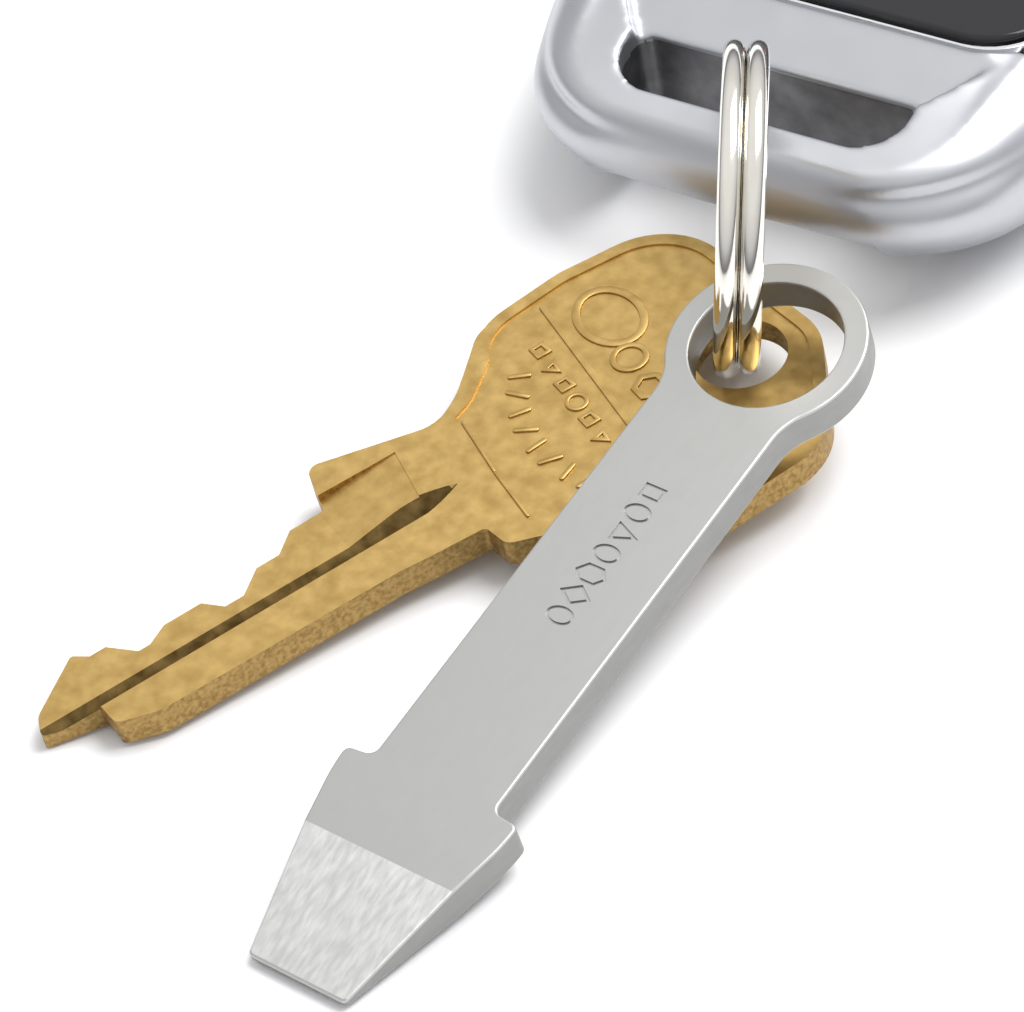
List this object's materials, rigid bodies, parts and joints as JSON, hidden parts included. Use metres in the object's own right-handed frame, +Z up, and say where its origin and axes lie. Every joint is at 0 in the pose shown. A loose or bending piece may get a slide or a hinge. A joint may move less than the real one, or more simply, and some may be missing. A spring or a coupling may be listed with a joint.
{
  "type": "key bunch",
  "caption": "Smart key fob, brass door key and flat steel pry tool organised on one split ring, with pressing buttons and a pull-out emergency key.",
  "frame": {"origin": "centre of the flat patch under the fob, on the surface that the bunch lies on", "axes": "+Y from the key ring to the far end of the fob, +X to the right across the fob, +Z up through the glossy panel"},
  "size_m": [0.041, 0.1354, 0.0208],
  "materials": {
    "satin_chrome": "satin",
    "silver_shell": "satin",
    "bright_trim": "polished",
    "gloss_black": "high gloss",
    "lens_red": "clear gloss",
    "black_rubber": "matt",
    "board_green": "solder mask",
    "chip_black": "matt",
    "spring_steel": "bright",
    "copper_coil": "enamelled",
    "cell_steel": "fine brushed",
    "black_plastic": "fine grain",
    "ring_nickel": "polished nickel",
    "key_brass": "worn and aged",
    "tool_steel": "bead blasted satin"
  },
  "bodies": {
    "fob": {"end_frame": "satin_chrome", "lower_shell": "silver_shell", "upper_shell": "silver_shell", "panel_trim": "bright_trim", "front_panel": "gloss_black", "status_lens": "lens_red", "keypad_membrane": "black_rubber", "circuit_board": "board_green", "board_components": "chip_black", "dome_switches": "spring_steel", "antenna_coil": "copper_coil", "coin_cell": "cell_steel", "battery_clip": "spring_steel", "battery_spring": "spring_steel", "battery_cover": "silver_shell", "cover_seal": "black_rubber", "case_gasket": "black_rubber", "case_screws": "spring_steel", "blade_guide": "black_plastic", "blade_detent": "spring_steel"},
    "lock_button": {"lock_button": "gloss_black"},
    "unlock_button": {"unlock_button": "gloss_black"},
    "boot_button": {"boot_button": "gloss_black"},
    "emergency_key": {"emergency_blade": "spring_steel", "blade_head": "black_plastic"},
    "split_ring": {"split_ring": "ring_nickel"},
    "brass_key": {"brass_key": "key_brass"},
    "pry_tool": {"pry_tool": "tool_steel"}
  },
  "joints": [
    {"name": "lock_press", "type": "slide", "parent": "fob", "child": "lock_button", "axis": [0, 0, -1], "range_m": [0, 0.0004], "stiffness_N_per_m": 1500, "springref_m": -0.0002},
    {"name": "unlock_press", "type": "slide", "parent": "fob", "child": "unlock_button", "axis": [0, 0, -1], "range_m": [0, 0.0004], "stiffness_N_per_m": 1500, "springref_m": -0.0002},
    {"name": "boot_press", "type": "slide", "parent": "fob", "child": "boot_button", "axis": [0, 0, -1], "range_m": [0, 0.0004], "stiffness_N_per_m": 1500, "springref_m": -0.0002},
    {"name": "emergency_pull", "type": "slide", "parent": "fob", "child": "emergency_key", "axis": [0, 1, 0], "range_m": [0, 0.045]},
    {"name": "ring_swing", "type": "hinge", "parent": "fob", "child": "split_ring", "pos_m": [0, -0.0366, 0.008], "axis": [-1, 0, 0], "range_deg": [0, 20]},
    {"name": "key_swing", "type": "hinge", "parent": "split_ring", "child": "brass_key", "pos_m": [0.00633, -0.0479, 0.00439], "axis": [-0.0233, -0.0449, 0.9987], "range_deg": [-4, 6]},
    {"name": "tool_swing", "type": "hinge", "parent": "split_ring", "child": "pry_tool", "pos_m": [0.01, -0.0504, 0.0087], "axis": [-0.0147, -0.1471, 0.989], "range_deg": [0, 90]}
  ]
}
